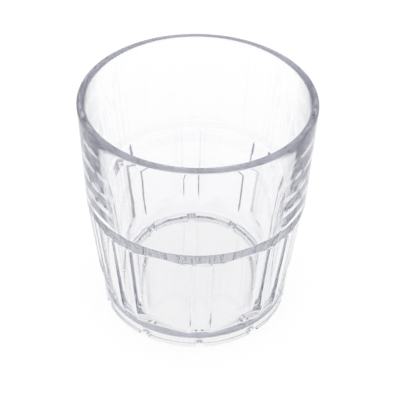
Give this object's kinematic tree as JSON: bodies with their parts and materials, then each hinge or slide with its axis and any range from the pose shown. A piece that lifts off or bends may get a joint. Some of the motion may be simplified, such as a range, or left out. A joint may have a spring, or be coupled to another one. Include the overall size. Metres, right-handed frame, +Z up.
{
  "type": "tumbler cup",
  "caption": "Clear plastic tumbler, moulded in one piece, with a round smooth upper half and eight flat panels with narrow hollow flutes on its lower half.",
  "frame": {"origin": "middle of the circle that the foot stands on", "axes": "+Z up along the cup's axis, and -Y through the middle of one flute and of one drain notch"},
  "size_m": [0.0858, 0.0858, 0.09],
  "materials": {
    "clear_plastic": "moulded smooth, clear and glossy"
  },
  "bodies": {
    "root": {"tumbler": "clear_plastic"}
  },
  "joints": []
}
